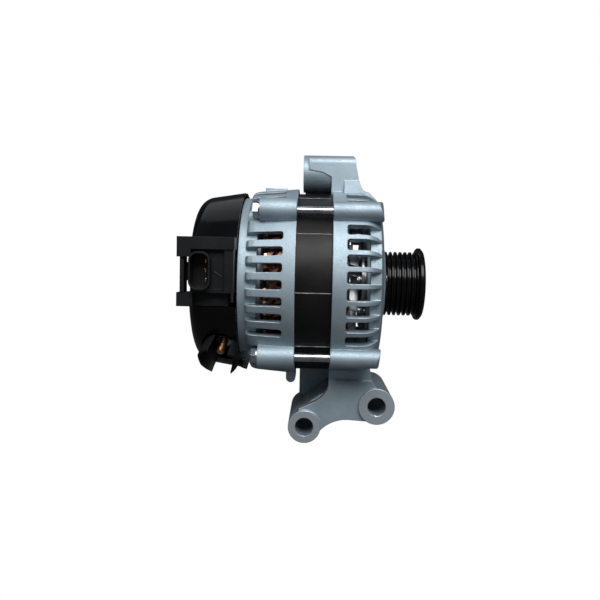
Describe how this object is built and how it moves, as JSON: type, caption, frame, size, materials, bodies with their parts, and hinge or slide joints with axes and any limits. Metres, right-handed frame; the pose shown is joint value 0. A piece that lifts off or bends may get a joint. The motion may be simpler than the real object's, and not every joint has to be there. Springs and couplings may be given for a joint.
{
  "type": "car alternator",
  "caption": "Car alternator with a ribbed belt pulley, slotted castings, a two-bolt foot, a top ear and a black rear cap with plug socket.",
  "frame": {"origin": "on the shaft axis, in the centre plane of the belt grooves on the pulley", "axes": "+X along the shaft out of the drive end, +Z from the two-bolt foot to the top ear, -Y towards the plug socket side"},
  "size_m": [0.1673, 0.1418, 0.2064],
  "materials": {
    "cast_aluminium": "bead-blasted die casting",
    "heat_sink_aluminium": "stamped, satin",
    "zinc_steel": "bright zinc plate",
    "bearing_steel": "ground steel",
    "black_lamination": "thin black dip coat over steel laminations",
    "pole_steel": "forged steel, oiled",
    "enamelled_copper": "copper under red enamel",
    "bare_copper": "bare copper alloy",
    "gloss_black_paint": "gloss black",
    "black_plastic": "gloss moulded nylon",
    "dark_plastic": "matte glass-filled nylon",
    "seal_rubber": "moulded seal",
    "carbon": "pressed electrographite",
    "spring_steel": "drawn wire",
    "fan_steel": "bright pressed sheet"
  },
  "bodies": {
    "housing": {"front_housing": "cast_aluminium", "rear_housing": "cast_aluminium", "foot_bushes": "bearing_steel", "through_bolts": "zinc_steel", "stator_core": "black_lamination", "stator_winding": "enamelled_copper", "phase_leads": "enamelled_copper", "front_bearing_outer_race": "bearing_steel", "front_bearing_seals": "seal_rubber", "bearing_retainer": "zinc_steel", "retainer_screws": "zinc_steel", "rear_bearing_outer_race": "bearing_steel", "rear_bearing_seals": "seal_rubber", "rear_bearing_sleeve": "dark_plastic", "negative_heat_sink": "heat_sink_aluminium", "positive_heat_sink": "heat_sink_aluminium", "negative_diodes": "zinc_steel", "positive_diodes": "zinc_steel", "terminal_frame": "dark_plastic", "plate_spacers": "dark_plastic", "cover_spacers": "dark_plastic", "b_plus_bar": "bare_copper", "b_plus_stud": "bare_copper", "b_plus_nut": "zinc_steel", "stud_shroud": "dark_plastic", "voltage_regulator": "heat_sink_aluminium", "regulator_screws": "zinc_steel", "brush_holder": "dark_plastic", "brush_holder_screws": "zinc_steel", "plug_socket": "dark_plastic", "socket_pins": "bare_copper", "rear_cover": "black_plastic", "cover_studs": "zinc_steel", "cover_nuts": "zinc_steel", "inner_brush_spring": "spring_steel", "outer_brush_spring": "spring_steel"},
    "rotor": {"rotor_shaft": "bearing_steel", "front_claw_pole": "pole_steel", "rear_claw_pole": "pole_steel", "coil_bobbin": "dark_plastic", "field_coil": "enamelled_copper", "front_fan": "fan_steel", "rear_fan": "fan_steel", "front_bearing_inner_race": "bearing_steel", "rear_bearing_inner_race": "bearing_steel", "rotor_spacer": "bearing_steel", "pulley_spacer": "bearing_steel", "slip_ring_inner": "bare_copper", "slip_ring_outer": "bare_copper", "slip_ring_insulator": "dark_plastic", "pulley": "gloss_black_paint", "pulley_nut": "zinc_steel"},
    "front_ball_set": {"front_bearing_balls": "bearing_steel", "front_bearing_cage": "dark_plastic"},
    "rear_ball_set": {"rear_bearing_balls": "bearing_steel", "rear_bearing_cage": "dark_plastic"},
    "inner_brush_body": {"inner_brush": "carbon"},
    "outer_brush_body": {"outer_brush": "carbon"}
  },
  "joints": [
    {"name": "rotor_spin", "type": "hinge", "parent": "housing", "child": "rotor", "pos_m": [0, 0, 0], "axis": [1, 0, 0], "continuous": true},
    {"name": "front_cage_spin", "type": "hinge", "parent": "housing", "child": "front_ball_set", "pos_m": [-0.021, 0, 0], "axis": [1, 0, 0], "continuous": true},
    {"name": "rear_cage_spin", "type": "hinge", "parent": "housing", "child": "rear_ball_set", "pos_m": [-0.1055, 0, 0], "axis": [1, 0, 0], "continuous": true},
    {"name": "inner_brush_slide", "type": "slide", "parent": "housing", "child": "inner_brush_body", "axis": [0, 0, 1], "range_m": [0, 0.004], "stiffness_N_per_m": 300, "springref_m": -0.012, "deforming": ["inner_brush_spring"]},
    {"name": "outer_brush_slide", "type": "slide", "parent": "housing", "child": "outer_brush_body", "axis": [0, 0, 1], "range_m": [0, 0.004], "stiffness_N_per_m": 300, "springref_m": -0.012, "deforming": ["outer_brush_spring"]}
  ],
  "couplings": [
    {"joint": "front_cage_spin", "follows": "rotor_spin", "ratio": 0.3766},
    {"joint": "rear_cage_spin", "follows": "rotor_spin", "ratio": 0.379}
  ]
}
